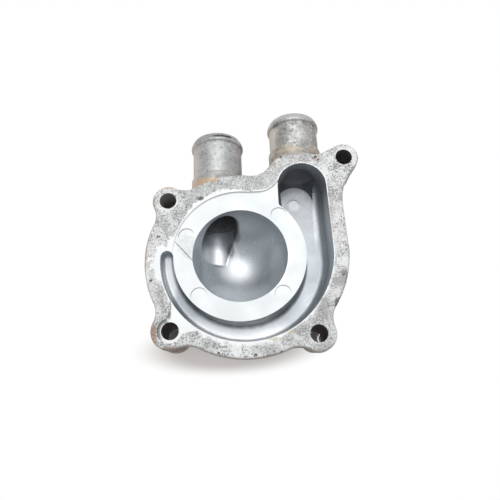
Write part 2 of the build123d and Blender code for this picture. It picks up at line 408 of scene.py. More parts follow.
# %% Tidy the skin
full_depth_turn = 345.0
turn_margin = 0.1
channel_radii = (24.0, 37.0)
channel_heights = (-17.0, -1.0)
sliver_size = 0.001 * MM
same_plane = radians(0.05)
crowded = 0.07 * MM
edit_all(casting)
bpy.ops.mesh.dissolve_degenerate(threshold=sliver_size)
bpy.ops.mesh.dissolve_limited(angle_limit=same_plane, use_dissolve_boundaries=False, delimit=set())
bpy.ops.mesh.select_all(action="DESELECT")
bpy.ops.object.mode_set(mode="OBJECT")
across = Vector((-sin(radians(full_depth_turn)), cos(radians(full_depth_turn)), 0.0))
for vertex in casting.data.vertices:
    point = vertex.co / MM
    beside = abs(across.dot(point)) < turn_margin
    in_channel = channel_radii[0] < hypot(point.x, point.y) < channel_radii[1]
    vertex.select = beside and in_channel and channel_heights[0] < point.z < channel_heights[1]
bpy.ops.object.mode_set(mode="EDIT")
bpy.ops.mesh.remove_doubles(threshold=crowded)
bpy.ops.object.mode_set(mode="OBJECT")
print("tidy casting", len(casting.data.vertices), "vertices,", len(casting.data.polygons), "faces")

# %% [markdown]
# ## Where each finish belongs
# One casting shows several finishes: the corroded mating rim, the smooth ring, the blue-grey walls that the
# coolant wetted, the bores and bolt holes, the two hose spigots and the rough back. They could be painted by
# hand, face by face. Here each face is sorted by its place instead, with the same few sizes that shaped the
# solid, and gets its own material slot.

# %% Sizes that tell the faces apart
slack = 0.1
ring_edge = 25.4
bowl_center = Vector((0.0, 0.0, ring_height))
bowl_round = 18.2
bolts = ((-27.5, 22.9), (-26.6, -27.9), (27.6, -31.0), (43.1, 39.2))
bolt_radius = 3.3
port_center = (25.4, 27.5)
port_radius = 9.6
start_center = (-27.8, 0.0)
start_radius = 2.4
start_turn = 180.0
start_reach = 5.0
spiral_width = 4.8
spiral_growth = 5.5
run_left = 15.8
run_right = 35.7
run_slope = 0.0246
start_floor = -5.3
floor_fall = 10.3
bore_radius = 7.5
spigot_radius = 10.3
spigot_reach = 11.6
trough_reach = 22.0
spigot_way = Vector((0.0, cos(radians(3.0)), -sin(radians(3.0))))
Spigot = namedtuple("Spigot", "name root length bore_start taper_start outside_start")
spigots = (
    Spigot("inlet", Vector((-8.4, 20.0, -12.2)), 34.4, -4.3, -4.2, 20.5),
    Spigot("outlet", Vector((24.7, 36.8, -12.3)), 25.4, 0.3, 0.3, 38.0),
)
print("bolt holes", len(bolts), "spigots", [spigot.name for spigot in spigots])

# %% Where a point lies
def off_axis(point, spigot):
    """How far a point lies along a spigot from its root, and the arrow to it from the spigot's axis."""
    from_root = point - spigot.root
    along = from_root.dot(spigot_way)
    return along, from_root - spigot_way * along


def turn_of(x, y):
    """The direction of a point from the impeller axis, from 0 to 360 degrees."""
    return degrees(atan2(y, x)) % 360.0


def in_opening(x, y):
    """Whether a point lies over the channel or the round port, seen from the front."""
    radius = hypot(x, y)
    wall = ring_edge + spiral_width + slack + spiral_growth * (turn_of(x, y) - start_turn) / 180.0
    spiral = y <= 0.0 and ring_edge - slack < radius < wall
    start = hypot(x - start_center[0], y - start_center[1]) < start_radius + slack
    port = hypot(x - port_center[0], y - port_center[1]) < port_radius + slack
    beside_run = run_left - slack < x < run_right + slack - run_slope * y
    run = 0.0 < y < port_center[1] and beside_run and radius > ring_edge - slack
    return spiral or start or port or run


def channel_floor(x, y):
    """The height of the channel's floor, a little lowered. It falls from the start to the full depth."""
    past_start = turn_of(x, y) - start_turn
    share = past_start / (full_depth_turn - start_turn) if past_start > -start_reach else 1.0
    return start_floor - floor_fall * sin(min(max(share, 0.0), 1.0) * pi / 2)


print("the channel's floor goes down to", round(channel_floor(ring_edge, 0.0), 2), "mm")

# %% Finish of a face
def spigot_finish(center, normal):
    """The finish of a face on or in a spigot, or nothing away from both."""
    for spigot in spigots:
        along, outward = off_axis(center, spigot)
        in_bore = outward.length < bore_radius + slack and outward.dot(normal) < 0.0
        if in_bore and -trough_reach < along < spigot.length:
            return "bore" if along > spigot.bore_start else "wetted"
        outside = outward.length < spigot_reach and along > 0.0
        if outside and center.y > spigot.outside_start and center.z < -0.5:
            return spigot.name
    return None


def finish_of(center, normal):
    """The name of the finish that a face takes, from its place and from where it faces."""
    x, y, z = center
    from_axis = hypot(x, y)
    over_ring = z - ring_height
    found = spigot_finish(center, normal)
    if found:
        return found
    if over_ring < -0.05 and (center - bowl_center).length < bowl_round + 1.2:
        return "wetted"
    from_bolt = min(hypot(x - u, y - v) for u, v in bolts)
    if from_bolt < bolt_radius + slack and z < -slack and abs(normal.z) < 0.5:
        return "bolt hole"
    if over_ring < -0.05 and in_opening(x, y) and z > channel_floor(x, y):
        return "wetted"
    ring_face = -0.2 < over_ring < 0.1 and normal.z > 0.9
    rounded_edge = -0.5 < over_ring < 0.05 and normal.z > 0.3 and (x < -10.0 or from_axis < ring_edge)
    step_to_rim = over_ring > -0.4 and from_axis < 30.0 and normal.z < 0.5 and not in_opening(x, y)
    if ring_face or rounded_edge or step_to_rim:
        return "ring"
    return "rim" if over_ring > 0.05 and normal.z > 0.05 else "back"


print("sorting helpers ready")

# %% Sort the faces
finish_names = ["back", "rim", "ring", "wetted", "bore", "bolt hole", "inlet", "outlet"]
count = {name: 0 for name in finish_names}
finish_index = []
for face in casting.data.polygons:
    name = finish_of(face.center / MM, face.normal)
    finish_index.append(finish_names.index(name))
    count[name] += 1
print("faces by finish", count)

# %% [markdown]
# ## Smooth light
# Light has to run smoothly over the round walls and break at the real edges, which are those where two faces
# meet at more than 30 degrees. Weighted normals keep the large flat faces flat beside their small rounded
# edges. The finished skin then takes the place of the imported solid.

# %% Smooth light over the skin
real_edge = radians(30.0)
only(casting)
bpy.ops.object.shade_smooth_by_angle(angle=real_edge, keep_sharp_edges=False)
weighted = casting.modifiers.new("flat faces stay flat", "WEIGHTED_NORMAL")
weighted.keep_sharp = True
weighted.weight = 90
bpy.ops.object.modifier_apply(modifier=weighted.name)
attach(casting, "root")
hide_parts("pump_cover")
print("shading smoothed")

# %% [markdown]
# ## True normals
# Long thin triangles beside a cut edge still catch the light wrongly. The bowl is a ball, the bores and
# tubes are round and the faces are flat, so their exact normals are known and are written over the averaged
# ones. The other faces keep theirs.

# %% Known normals
on_surface = 0.03
flat_within = 0.004
bore_draft = tan(radians(1.0))
straight_start = 10.0


def from_ball(point):
    """The normal on the bowl's wall, or nothing away from it."""
    to_center = bowl_center - point
    return to_center.normalized() if abs(to_center.length - bowl_round) < on_surface else None


def from_tube(point):
    """The normal on a bore or on the straight outside of a spigot, or nothing away from them."""
    for spigot in spigots:
        along, outward = off_axis(point, spigot)
        off = outward.length
        bore = bore_radius - max(spigot.taper_start - along, 0.0) * bore_draft
        if abs(off - bore) < on_surface:
            return -outward / off
        if abs(off - spigot_radius) < on_surface and along > straight_start:
            return outward / off
    return None


def known_normals(points, face_normal):
    """The exact normals at a face's corners, with nothing where they aren't known."""
    heights = [point.z for point in points]
    if max(heights) - min(heights) < flat_within and abs(face_normal.z) > 0.99:
        return [Vector((0.0, 0.0, 1.0 if face_normal.z > 0.0 else -1.0))] * len(points)
    on_ball = [from_ball(point) for point in points]
    return [from_tube(point) for point in points] if None in on_ball else on_ball


print("normal at the bowl's bottom", from_ball(bowl_center - Vector((0.0, 0.0, bowl_round))))

# %% Exact normals on flat, ball-shaped and round faces
mesh = casting.data
normals = [corner.vector.copy() for corner in mesh.corner_normals]
exact = 0
for face in mesh.polygons:
    points = [mesh.vertices[v].co / MM for v in face.vertices]
    known = known_normals(points, face.normal)
    if None not in known and known[0].dot(face.normal) > 0.5:
        exact += 1
        for corner, normal in zip(face.loop_indices, known):
            normals[corner] = normal
mesh.normals_split_custom_set(normals)
print("faces with exact normals", exact)

# %% [markdown]
# ## Shared effects
# Several finishes need the same effects: place in millimetres, cast grain, white and dark corrosion,
# stains with ragged edges, and fine scratches. Each is a node group that is built once and placed in
# each material with its own values. A group only puts out vectors, masks and heights, and the shader stays in
# the material.

# %% Group builder
def new_group(name, inputs, outputs):
    """A shader node group with named sockets. Returns its tree, what comes in and what goes out."""
    tree = bpy.data.node_groups.new(name, "ShaderNodeTree")
    kinds = {"vector": "NodeSocketVector", "value": "NodeSocketFloat"}
    for way, sockets in (("INPUT", inputs), ("OUTPUT", outputs)):
        for label, kind in sockets:
            tree.interface.new_socket(name=label, in_out=way, socket_type=kinds[kind])
    start = tree.nodes.new("NodeGroupInput")
    end = tree.nodes.new("NodeGroupOutput")
    return tree, start.outputs, end.inputs


def use(tree, group, **values):
    """Places a group in a tree, with its inputs given by name. Returns its outputs."""
    node = tree.nodes.new("ShaderNodeGroup")
    node.node_tree = group
    for label, value in values.items():
        plug(tree, node.inputs[label], value)
    return node.outputs


print("group builder ready")

# %% Place in millimetres
millimetres, _, ends = new_group("millimetres", [], [("Place", "vector")])
plug(millimetres, ends["Place"], in_millimetres(millimetres))
print("group", millimetres.name)

# %% Cast grain
cast_grain, starts, ends = new_group(
    "cast grain", [("Place", "vector"), ("Fineness", "value")], [("Height", "value"), ("Tone", "value")]
)
coarse_scale = times(cast_grain, starts["Fineness"], 0.8)
fine_scale = times(cast_grain, starts["Fineness"], 3.4)
coarse = noise(cast_grain, starts["Place"], coarse_scale, 3.0, 0.6)
fine = noise(cast_grain, starts["Place"], fine_scale, 2.0, 0.6)
mixed = number(cast_grain, 0.45, coarse, fine)
plug(cast_grain, ends["Height"], mixed)
plug(cast_grain, ends["Tone"], smooth(cast_grain, mixed, 0.32, 0.68))
print("group", cast_grain.name)

# %% Corrosion
corrosion, starts, ends = new_group(
    "corrosion",
    [("Place", "vector"), ("Patch", "value"), ("Lift", "value"), ("Pitting", "value")],
    [("Light", "value"), ("Chalk", "value"), ("Pits", "value"), ("Height", "value")],
)
place = starts["Place"]
broad = noise(corrosion, place, starts["Patch"], 4.0, 0.62, 0.5)
broad_share = times(corrosion, minus(corrosion, broad, 0.5), 0.50)
speck = noise(corrosion, place, 1.35, 4.0, 0.74, 0.3)
lifted = calc(corrosion, "ADD", calc(corrosion, "ADD", speck, starts["Lift"]), broad_share)
light = smooth(corrosion, lifted, 0.40, 0.50)
chalk = smooth(corrosion, calc(corrosion, "ADD", lifted, broad_share), 0.56, 0.68)
cells = corrosion.nodes.new("ShaderNodeTexVoronoi")
plug(corrosion, cells.inputs["Vector"], place)
cells.inputs["Scale"].default_value = 1.25
chance = noise(corrosion, cells.outputs["Position"], 1.9, 1.0)
keep = calc(corrosion, "LESS_THAN", chance, starts["Pitting"])
ragged = calc(corrosion, "MULTIPLY_ADD", speck, 0.6, cells.outputs["Distance"])
pits = times(corrosion, smooth(corrosion, ragged, 0.56, 0.42), keep)
raised = calc(corrosion, "MULTIPLY_ADD", light, 0.55, times(corrosion, speck, 0.45))
height = minus(corrosion, raised, pits)
for label, value in (("Light", light), ("Chalk", chalk), ("Pits", pits), ("Height", height)):
    plug(corrosion, ends[label], value)
print("group", corrosion.name)

# %% Stain with a ragged edge
stain, starts, ends = new_group(
    "stain",
    [("Place", "vector"), ("Center", "vector"), ("Reach", "vector"), ("Ragged", "value")],
    [("Mask", "value")],
)
from_middle = calc3(stain, "SUBTRACT", starts["Place"], starts["Center"])
away = calc3(stain, "LENGTH", calc3(stain, "DIVIDE", from_middle, starts["Reach"]))
rough = minus(stain, noise(stain, starts["Place"], 0.7, 4.0, 0.65), 0.5)
away = calc(stain, "MULTIPLY_ADD", rough, starts["Ragged"], away)
plug(stain, ends["Mask"], smooth(stain, away, 1.0, 0.45))


def stained(tree, place, center, reach, ragged):
    """The mask of one stain."""
    return use(tree, stain, Place=place, Center=center, Reach=reach, Ragged=ragged)["Mask"]


def strongest(tree, place, zones, ragged, least=0.0):
    """The strongest of several stains at each point. A row gives the middle, the reach and the strength."""
    for center, reach, strength in zones:
        mask = stained(tree, place, center, reach, ragged)
        least = calc(tree, "MAXIMUM", least, times(tree, mask, strength))
    return least


def tinted(tree, place, color, tints, ragged):
    """A colour with stains laid over it. A row gives the middle, the reach, the strength and the tint."""
    for center, reach, strength, tint in tints:
        color = wash(tree, color, stained(tree, place, center, reach, ragged), strength, tint)
    return color


print("group", stain.name)

# %% Scratches
scratches, starts, ends = new_group(
    "scratches", [("Place", "vector"), ("Turn", "value"), ("Amount", "value")], [("Mask", "value")]
)
turned = scratches.nodes.new("ShaderNodeVectorRotate")
turned.rotation_type = "Z_AXIS"
plug(scratches, turned.inputs["Vector"], starts["Place"])
plug(scratches, turned.inputs["Angle"], starts["Turn"])
stretched = calc3(scratches, "MULTIPLY", turned.outputs["Vector"], (0.10, 2.6, 0.3))
line = noise(scratches, stretched, 1.0, 2.0, 0.5, 0.2)
sparse = smooth(scratches, noise(scratches, starts["Place"], 0.13, 2.0), 0.48, 0.62)
edge = minus(scratches, 0.78, times(scratches, starts["Amount"], 0.2))
mask = smooth(scratches, minus(scratches, line, edge), 0.0, 0.02)
plug(scratches, ends["Mask"], times(scratches, mask, sparse))
print("groups", [g.name for g in bpy.data.node_groups])

# %% [markdown]
# ## How far a point lies from the opening
# On the rim, a band along the edge of the recess and the channel stayed clean, where the gasket was pressed
# hardest. A painted mask could show it, but the edge is made of a few circles, a spiral and a line, so its
# distance can be worked out from the place itself. Each part gives its own distance, and the smallest holds.

# %% Distance from circles and lines
opening, starts, ends = new_group("opening distance", [("Place", "vector")], [("Distance", "value")])
x, y, _ = axes_of(opening, starts["Place"])
flat = calc3(opening, "MULTIPLY", starts["Place"], (1.0, 1.0, 0.0))


def from_circle(center, radius):
    """Distance outside a circle."""
    return minus(opening, calc3(opening, "DISTANCE", flat, (*center, 0.0)), radius)


def past_line(way, start):
    """How far a point lies past a straight line that stands across a given way."""
    return minus(opening, calc3(opening, "DOT_PRODUCT", flat, (*way, 0.0)), start)


def only_where(distance, test):
    """Keeps a distance where a test is 1 and puts it far away elsewhere."""
    far = times(opening, minus(opening, 1.0, test), 1000.0)
    return calc(opening, "ADD", distance, far)


print("distance helpers ready")

# %% Distance from the opening's edge
recess_edge = ring_edge + 0.4
arc_center = (8.0, 34.6)
arc_radius = 9.0
arc_limits = [((-3.0, 0.696), 0.0), ((1.0, 0.0), 16.5), ((0.0, -1.0), -20.0), ((0.0, 3.0), 94.5)]
below = calc(opening, "LESS_THAN", y, 0.0)
under_port = calc(opening, "LESS_THAN", y, port_center[1])
above = times(opening, minus(opening, 1.0, below), under_port)
turn = calc(opening, "DIVIDE", calc(opening, "ADD", calc(opening, "ARCTAN2", y, x), pi), pi)
spiral_radius = calc(opening, "MULTIPLY_ADD", turn, spiral_growth, ring_edge + spiral_width)
spiral = minus(opening, calc3(opening, "LENGTH", flat), spiral_radius)
run = calc(opening, "MAXIMUM", past_line((1.0, run_slope), run_right), past_line((-1.0, 0.0), -run_left))
nearest = times(opening, from_circle(arc_center, arc_radius), -1.0)
for way, start in arc_limits:
    nearest = calc(opening, "MAXIMUM", nearest, past_line(way, start))
for part in (
    from_circle((0.0, 0.0), recess_edge),
    only_where(spiral, below),
    only_where(run, above),
    from_circle(port_center, port_radius),
    from_circle(start_center, start_radius),
):
    nearest = calc(opening, "MINIMUM", nearest, part)
plug(opening, ends["Distance"], nearest)
print("opening distance uses", len(opening.nodes), "nodes")

# %% [markdown]
# ## A metal material
# Every finish here is aluminium under more or less oxide, so each material starts from the same parts: one
# Principled shader, the place in millimetres, and a Bump node. The colour, the roughness and the height
# come from the groups.

# %% Start of a metal material
def metal(name, bump_mm):
    """A material with a Principled shader. Returns its tree, the place in mm and a finishing call."""
    material = bpy.data.materials.new(name)
    tree = empty_tree(material)
    output = tree.nodes.new("ShaderNodeOutputMaterial")
    shader = tree.nodes.new("ShaderNodeBsdfPrincipled")
    bump = tree.nodes.new("ShaderNodeBump")
    bump.inputs["Strength"].default_value = 1.0
    bump.inputs["Distance"].default_value = bump_mm * MM
    plug(tree, shader.inputs["Normal"], bump.outputs[0])
    plug(tree, output.inputs["Surface"], shader.outputs[0])

    def finished(color, metallic, roughness, height):
        """Plugs in the finish and returns the material."""
        for label, value in (("Base Color", color), ("Metallic", metallic), ("Roughness", roughness)):
            plug(tree, shader.inputs[label], value)
        plug(tree, bump.inputs["Height"], height)
        return material

    return tree, use(tree, millimetres)["Place"], finished


print("metal material ready")

# %% [markdown]
# ## The corroded mating rim
# The rim is the surface that the eye meets first. Years of coolant left it grey and speckled: chalky white
# oxide in patches, dark pits of a few tenths of a millimetre, and brown tints where steel bolts and hose
# clamps rusted beside it. The band along the opening is clean and a little shinier. The pale zones are listed
# and made ragged by noise, the grain comes from a finer noise, and each tint is a small stain. The
# left side is calmer, with fewer dark specks. A row that starts with a middle and a reach is one such stain.

# %% Pale zones and speckle of the rim
def on_rim(rows, depth):
    """Rows of stains with their middles put in the plane of the rim and one reach below it."""
    return [((*center, 0.0), (*reach, depth), *rest) for center, reach, *rest in rows]


tree, place, finished = metal("corroded_rim", 0.10)
pale_zones = [
    ((-38.0, -9.0), (9.5, 19.0), 1.0),
    ((-33.0, 5.0), (5.5, 8.0), 1.0),
    ((-28.0, -30.0), (9.0, 7.0), 0.9),
    ((-5.0, -36.5), (27.0, 10.0), 1.0),
    ((39.5, 4.0), (6.0, 17.0), 0.75),
    ((38.0, -17.0), (5.0, 7.0), 0.4),
    ((-27.5, 23.5), (9.0, 9.0), 1.0),
    ((43.0, 39.0), (9.0, 9.0), 1.0),
    ((36.0, 33.0), (9.0, 11.0), 0.7),
    ((28.0, -31.0), (6.5, 6.5), 0.3),
]
pale = strongest(tree, place, on_rim(pale_zones, 9.0), 1.4)
lift = number(tree, pale, 0.018, 0.030)
oxide = use(tree, corrosion, Place=place, Patch=0.16, Lift=lift, Pitting=0.47)
grain = smooth(tree, noise(tree, place, 2.4, 3.0, 0.68, 0.4), 0.38, 0.62)
grey = blend(tree, grain, (0.60, 0.59, 0.58), (0.97, 0.96, 0.95))
white = blend(tree, grain, (0.80, 0.79, 0.78), (1.0, 0.99, 0.98))
color = blend(tree, pale, grey, white)
calm = stained(tree, place, (-37.5, -9.0, 0.0), (10.0, 20.0, 9.0), 0.8)
strength = times(tree, number(tree, pale, 0.58, 0.96), number(tree, calm, 1.0, 0.3))
color = wash(tree, color, minus(tree, 1.0, oxide["Light"]), strength, (0.30, 0.30, 0.30))
color = wash(tree, color, oxide["Chalk"], 0.85, (1.0, 0.99, 0.98))
color = wash(tree, color, oxide["Pits"], 0.8, (0.13, 0.12, 0.11))
print("pale zones of the rim", len(pale_zones))

# %% Clean band along the opening
wider_places = [
    ((-14.0, 27.0), (19.0, 13.0), 1.3),
    ((-32.0, 1.0), (10.0, 13.0), 3.0),
    ((-3.0, -34.0), (25.0, 9.0), 1.0),
]
band = 0.45
for center, reach, extra in on_rim(wider_places, 9.0):
    band = calc(tree, "MULTIPLY_ADD", stained(tree, place, center, reach, 0.5), extra, band)
distance = use(tree, opening, Place=place)["Distance"]
wander = times(tree, minus(tree, noise(tree, place, 0.45, 4.0, 0.62), 0.5), 4.2)
inside = minus(tree, band, calc(tree, "MULTIPLY_ADD", wander, band, distance))
clean = smooth(tree, inside, -0.35, 0.35)
color = wash(tree, color, clean, 0.95, (0.97, 0.975, 0.975))
print("the clean band has", len(wider_places), "wider places")

# %% Dark pits, rust and small spots on the rim
flat_pits = [(center, reach) for center, reach, _ in bites if center[2] == 0.0]
for center, reach in flat_pits:
    spot = (reach[0] * 1.3, max(reach[1] * 1.7, reach[0] * 0.6), 2.0)
    color = wash(tree, color, stained(tree, place, center, spot, 0.8), 0.8, (0.12, 0.105, 0.09))
rim_tints = [
    ((-33.6, 22.5), (1.7, 6.0), 0.50, (0.50, 0.31, 0.18)),
    ((-27.0, 29.0), (9.0, 1.6), 0.75, (0.78, 0.56, 0.38)),
    ((-35.9, 4.0), (1.0, 12.0), 0.40, (0.50, 0.34, 0.22)),
    ((-33.0, -30.0), (2.8, 7.0), 0.80, (0.42, 0.25, 0.16)),
    ((-27.5, -35.0), (7.5, 1.8), 0.70, (0.40, 0.24, 0.15)),
    ((-15.5, 31.6), (7.5, 2.0), 0.75, (0.92, 0.60, 0.36)),
    ((-10.0, 31.0), (2.0, 0.9), 0.80, (0.95, 0.55, 0.30)),
    ((13.0, 37.2), (3.5, 1.8), 0.50, (0.52, 0.37, 0.24)),
    ((22.0, 41.8), (8.0, 1.3), 0.45, (0.50, 0.37, 0.26)),
    ((34.5, 42.8), (5.0, 1.4), 0.35, (0.52, 0.38, 0.26)),
    ((31.0, 39.2), (1.2, 0.8), 0.75, (0.42, 0.22, 0.18)),
    ((11.0, -32.3), (4.5, 0.7), 0.55, (0.66, 0.55, 0.34)),
    ((17.5, -30.0), (3.4, 0.9), 0.45, (0.72, 0.63, 0.42)),
    ((42.4, 1.0), (1.0, 12.0), 0.35, (0.42, 0.33, 0.25)),
    ((35.5, 14.0), (1.0, 13.0), 0.50, (0.60, 0.50, 0.42)),
    ((40.4, -10.6), (1.7, 2.6), 0.85, (0.20, 0.19, 0.18)),
    ((38.6, -8.8), (2.2, 1.3), 0.70, (0.26, 0.25, 0.24)),
    ((35.2, -20.2), (1.6, 2.2), 0.90, (0.16, 0.15, 0.14)),
    ((37.4, -12.0), (4.6, 3.0), 0.60, (0.42, 0.41, 0.40)),
    ((31.0, -22.5), (5.5, 5.0), 0.40, (0.46, 0.45, 0.44)),
    ((29.0, -36.5), (7.0, 2.6), 0.45, (0.42, 0.41, 0.40)),
    ((8.0, -36.0), (7.0, 3.2), 0.40, (0.44, 0.43, 0.42)),
    ((-12.5, -33.5), (4.5, 3.2), 0.40, (0.40, 0.39, 0.38)),
    ((35.4, -15.8), (1.7, 1.4), 0.80, (1.0, 0.995, 0.99)),
    ((33.0, -22.0), (1.3, 1.0), 0.60, (1.0, 0.995, 0.99)),
    ((34.5, 33.0), (1.6, 2.4), 0.60, (1.0, 0.995, 0.99)),
    ((-12.0, -35.5), (3.0, 1.2), 0.60, (1.0, 0.995, 0.99)),
    ((20.0, -32.2), (3.0, 0.9), 0.70, (1.0, 0.995, 0.99)),
]
color = tinted(tree, place, color, on_rim(rim_tints, 3.0), 1.5)
print("dark pits", len(flat_pits), "tints", len(rim_tints))

# %% Material of the rim
_, _, z = axes_of(tree, place)
# Painted shade: the rim turns darker where its face rounds down at its edges.
color = wash(tree, color, smooth(tree, z, -0.02, -0.45), 0.45, (0.24, 0.225, 0.205))
shiny = calc(tree, "MAXIMUM", clean, times(tree, pale, 0.62))
height = times(tree, oxide["Height"], number(tree, clean, 1.0, 0.15))
metallic = number(tree, shiny, 0.2, 0.45)
rim_skin = finished(color, metallic, number(tree, shiny, 0.70, 0.50), height)
print("rim material", len(tree.nodes), "nodes")

# %% [markdown]
# ## The ring face
# The recessed ring around the bowl never touched a gasket. It kept the smooth, almost white face of the die,
# with faint clouds, a few hairline scratches and one long score. Thin lines of painted shade follow the
# shaded side of the four ejector marks and of the step beside the lower left bolt hole.

# %% Colour of the ring
tree, place, finished = metal("ring_face", 0.02)
grain = use(tree, cast_grain, Place=place, Fineness=0.9)
cloud = smooth(tree, noise(tree, place, 0.09, 3.0, 0.5), 0.35, 0.65)
color = blend(tree, cloud, (0.82, 0.845, 0.85), (0.87, 0.88, 0.882))
hairlines = use(tree, scratches, Place=place, Turn=0.6, Amount=0.5)["Mask"]
color = wash(tree, color, hairlines, 0.35, (0.64, 0.66, 0.68))
x, _, _ = axes_of(tree, place)
color = wash(tree, color, smooth(tree, x, 2.0, -26.0), 0.6, (0.94, 0.95, 0.955))
recess = stained(tree, place, (-24.0, -26.0, ring_height), (9.0, 9.0, 5.0), 0.2)
color = wash(tree, color, recess, 0.8, (0.99, 1.0, 1.0))
smudge = stained(tree, place, (-20.5, 4.6, ring_height), (4.8, 6.0, 4.0), 1.2)
smudge_tint = blend(tree, grain["Tone"], (0.56, 0.59, 0.59), (0.78, 0.80, 0.80))
color = wash(tree, color, smudge, 0.65, smudge_tint)
print("ring colour", len(tree.nodes), "nodes")

# %% Painted shade beside the ejector marks
mark_circle = 22.0
mark_radius = 3.1
mark_height = ring_height - 0.15


def painted_shade_arc(center, radius, outer, inner, way, start, end):
    """A soft line of painted shade along a circle, from nothing at outer to full at inner, on the side that
    faces a way.
    """
    from_center = calc3(tree, "SUBTRACT", place, center)
    gap = calc(tree, "ABSOLUTE", minus(tree, calc3(tree, "LENGTH", from_center), radius))
    side = smooth(tree, calc3(tree, "DOT_PRODUCT", from_center, way), start, end)
    return times(tree, smooth(tree, gap, outer, inner), side)


# Painted shade on the shaded side of each ejector mark.
for turn in (45.0, 158.0, 224.0, 315.0):
    center = (mark_circle * cos(radians(turn)), mark_circle * sin(radians(turn)), mark_height)
    line = painted_shade_arc(center, mark_radius, 0.24, 0.05, (-0.35, 0.94, 0.0), -0.8, 2.4)
    color = wash(tree, color, line, 0.8, (0.36, 0.38, 0.39))
print("ring with its marks", len(tree.nodes), "nodes")

# %% Dark score, painted shade at the step, and the material of the ring
lug_step = 4.2
step_shade_corners = [
    ((-27.0, -21.8, -0.7), (1.1, 2.6, 2.0), 1.0),
    ((-28.8, -24.4, -0.7), (2.2, 1.2, 2.0), 1.0),
]
middle, (half_length, _, _), turn = score
way = (cos(radians(turn)), sin(radians(turn)), 0.0)
from_score = calc3(tree, "SUBTRACT", place, middle)
beside = calc(tree, "ABSOLUTE", calc3(tree, "DOT_PRODUCT", from_score, (-way[1], way[0], 0.0)))
beside = smooth(tree, calc(tree, "MULTIPLY_ADD", grain["Tone"], 0.12, beside), 0.38, 0.12)
along = calc(tree, "ABSOLUTE", calc3(tree, "DOT_PRODUCT", from_score, way))
line = times(tree, beside, smooth(tree, along, half_length + 0.5, half_length - 0.5))
color = wash(tree, color, line, 0.75, (0.24, 0.25, 0.25))
# Painted shade along the step beside the lower left bolt hole and at its corners.
line = painted_shade_arc((*bolts[1], ring_height), lug_step, 0.9, 0.3, (-0.96, 0.28, 0.0), 1.0, 3.4)
shade = strongest(tree, place, step_shade_corners, 0.2, least=line)
color = wash(tree, color, shade, 0.8, (0.17, 0.175, 0.18))
roughness = number(tree, cloud, 0.50, 0.44)
ring_skin = finished(color, metallic=0.45, roughness=roughness, height=grain["Height"])
print("ring material", len(tree.nodes), "nodes")

# %% [markdown]
# ## The walls that the coolant wetted
# Inside the bowl and the channel the metal is bare and blue-grey, with a soft gloss. It reflects the lamp as
# one broad highlight, which a painted highlight widens. Painted shade darkens the port, the right side of the
# channel's floor, the mouth of the inlet bore, the bowl's top and left and the foot of the ring's outer wall.
# Painted light brightens the bowl's lower and right part, the channel's right wall and a patch in the inlet's
# trough. A chalky film whitens the channel's floor. Small white specks of scale sit on the bowl's wall, and
# faint scratches cross it.

# %% Colour, painted light and painted shade on the wetted walls
tree, place, finished = metal("wetted_wall", 0.03)
grain = use(tree, cast_grain, Place=place, Fineness=0.8)
cloud = smooth(tree, noise(tree, place, 0.16, 4.0, 0.6), 0.3, 0.7)
color = blend(tree, cloud, (0.53, 0.57, 0.605), (0.61, 0.645, 0.67))
# All rows but the small light disc at the port's ejector mark are painted light and shade: dark rows for
# painted shade, light rows for painted highlights and lit walls.
painted_light_and_mark_tints = [
    ((25.0, 33.0, -12.0), (17.0, 24.0, 16.0), 0.80, (0.27, 0.285, 0.30)),
    ((29.0, 5.0, -15.0), (7.0, 26.0, 3.5), 0.62, (0.42, 0.44, 0.455)),
    ((20.5, 31.0, -15.0), (7.0, 6.0, 2.5), 0.60, (0.30, 0.315, 0.325)),
    ((24.0, 22.0, -15.6), (8.0, 9.0, 2.0), 0.52, (0.40, 0.415, 0.43)),
    ((23.4, 24.8, -15.4), (3.4, 3.4, 1.2), 0.40, (0.80, 0.82, 0.83)),
    ((0.0, -13.0, -10.0), (16.0, 9.5, 11.0), 0.75, (0.86, 0.89, 0.91)),
    ((-2.5, -2.0, -18.5), (10.0, 8.5, 6.0), 0.65, (0.94, 0.96, 0.97)),
    ((2.0, 15.0, -9.0), (17.0, 9.0, 16.0), 0.62, (0.30, 0.315, 0.33)),
    ((-17.0, -3.0, -6.0), (3.4, 11.0, 9.0), 0.55, (0.30, 0.315, 0.33)),
    ((14.5, -3.0, -10.0), (5.0, 11.0, 10.0), 0.60, (0.76, 0.80, 0.83)),
    ((35.2, 5.0, -6.0), (3.0, 22.0, 8.0), 0.45, (0.76, 0.79, 0.82)),
    ((-6.0, 15.5, -4.5), (15.0, 4.5, 5.0), 0.45, (0.36, 0.375, 0.39)),
    ((-2.4, 4.0, -18.5), (2.6, 7.0, 4.0), 0.60, (0.92, 0.94, 0.95)),
    ((31.4, 15.0, -14.4), (0.8, 14.0, 2.5), 0.38, (0.92, 0.94, 0.95)),
    ((-10.5, 18.5, -12.0), (9.0, 7.0, 12.0), 0.85, (0.11, 0.115, 0.12)),
    ((-15.0, 12.5, -12.0), (4.0, 5.0, 8.0), 0.50, (0.20, 0.205, 0.21)),
]
color = tinted(tree, place, color, painted_light_and_mark_tints, 0.35)
print("films on the wetted walls", len(painted_light_and_mark_tints))

